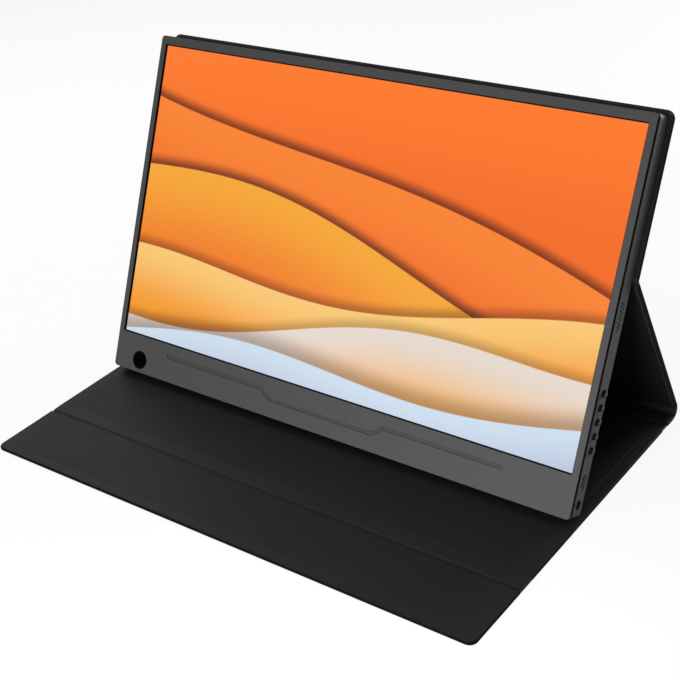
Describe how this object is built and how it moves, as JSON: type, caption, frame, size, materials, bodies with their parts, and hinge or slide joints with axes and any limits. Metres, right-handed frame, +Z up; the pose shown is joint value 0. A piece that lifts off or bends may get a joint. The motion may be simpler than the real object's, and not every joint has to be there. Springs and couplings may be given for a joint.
{
  "type": "portable monitor",
  "caption": "Slim portable monitor standing on its folding leather cover, which makes an easel stand and closes over the screen.",
  "frame": {"origin": "on the table under the middle of the opened cover's outline", "axes": "+X to the right as seen by a user facing the screen, +Y from the cover's front edge to its rear fold, +Z up"},
  "size_m": [0.36, 0.2452, 0.213],
  "materials": {
    "grey_shell": "fine matt grain",
    "black_plastic": "satin",
    "screen": "lit picture behind a matt film",
    "black_rubber": "foam",
    "white_film": "matt",
    "clear_acrylic": "polished",
    "steel": "stamped",
    "nickel": "nickel plate",
    "led_yellow": "moulded",
    "circuit_board": "solder mask",
    "amber_flex": "polyimide film",
    "cream_cable": "ribbon",
    "light_pipe": "polished",
    "black_mesh": "woven",
    "black_leather": "fine straight grain",
    "grey_card": "card",
    "black_lining": "microfibre with the same grain"
  },
  "bodies": {
    "base": {"base_skin": "black_leather", "base_board": "grey_card", "base_lining": "black_lining", "spine_crease": "black_leather", "flap_crease": "black_leather"},
    "spine": {"spine_skin": "black_leather", "spine_board": "grey_card", "spine_lining": "black_lining", "rear_fold": "black_leather"},
    "strut": {"strut_skin": "black_leather", "strut_board": "grey_card", "strut_lining": "black_lining", "back_crease": "black_leather"},
    "front_flap": {"flap_skin": "black_leather", "flap_board": "grey_card", "flap_lining": "black_lining"},
    "button_1": {"button_1": "grey_shell"},
    "button_2": {"button_2": "grey_shell"},
    "button_3": {"button_3": "grey_shell"},
    "button_4": {"button_4": "grey_shell"},
    "button_5": {"button_5": "grey_shell"},
    "monitor": {"front_bezel": "grey_shell", "rear_housing": "grey_shell", "pen_hole_liner": "black_plastic", "lcd_cell": "screen", "foam_gasket": "black_rubber", "diffuser_sheet": "white_film", "light_guide": "clear_acrylic", "reflector_sheet": "white_film", "backlight_tray": "steel", "led_bar": "led_yellow", "driver_board": "circuit_board", "panel_flexes": "amber_flex", "main_board": "circuit_board", "input_board": "circuit_board", "link_cable": "cream_cable", "usb_c_socket": "steel", "headphone_socket": "black_plastic", "mini_hdmi_socket": "steel", "usb_c_power_socket": "steel", "status_light": "light_pipe", "button_board": "circuit_board", "tact_switches": "black_plastic", "speaker_right": "black_plastic", "speaker_left": "black_plastic", "speaker_mesh_right": "black_mesh", "speaker_mesh_left": "black_mesh", "housing_screws": "steel", "board_screws": "steel", "housing_magnets": "nickel", "cover_magnets": "nickel", "upper_skin": "black_leather", "upper_board": "grey_card", "upper_lining": "black_lining"}
  },
  "joints": [
    {"name": "spine_fold", "type": "hinge", "parent": "base", "child": "spine", "pos_m": [0, 0.1044, 0.0013], "axis": [-1, 0, 0], "range_deg": [0, 90], "deforming": ["spine_crease"]},
    {"name": "rear_fold_turn", "type": "hinge", "parent": "spine", "child": "strut", "pos_m": [0, 0.1166, 0.006], "axis": [1, 0, 0], "range_deg": [-26.5, 12], "deforming": ["rear_fold"]},
    {"name": "stand_fold", "type": "hinge", "parent": "strut", "child": "monitor", "pos_m": [0, 0.05662, 0.12445], "axis": [-1, 0, 0], "range_deg": [-53, 24], "deforming": ["back_crease"]},
    {"name": "flap_turn", "type": "hinge", "parent": "base", "child": "front_flap", "pos_m": [0, -0.0682, 0.0013], "axis": [-1, 0, 0], "range_deg": [0, 95], "deforming": ["flap_crease"]},
    {"name": "button_1_press", "type": "slide", "parent": "monitor", "child": "button_1", "axis": [-1, 0, 0], "range_m": [0, 0.0005], "stiffness_N_per_m": 600, "springref_m": -0.0004},
    {"name": "button_2_press", "type": "slide", "parent": "monitor", "child": "button_2", "axis": [-1, 0, 0], "range_m": [0, 0.0005], "stiffness_N_per_m": 600, "springref_m": -0.0004},
    {"name": "button_3_press", "type": "slide", "parent": "monitor", "child": "button_3", "axis": [-1, 0, 0], "range_m": [0, 0.0005], "stiffness_N_per_m": 600, "springref_m": -0.0004},
    {"name": "button_4_press", "type": "slide", "parent": "monitor", "child": "button_4", "axis": [-1, 0, 0], "range_m": [0, 0.0005], "stiffness_N_per_m": 600, "springref_m": -0.0004},
    {"name": "button_5_press", "type": "slide", "parent": "monitor", "child": "button_5", "axis": [-1, 0, 0], "range_m": [0, 0.0005], "stiffness_N_per_m": 600, "springref_m": -0.0004}
  ],
  "couplings": [
    {"joint": "rear_fold_turn", "follows": "stand_fold", "ratio": 0.5}
  ]
}
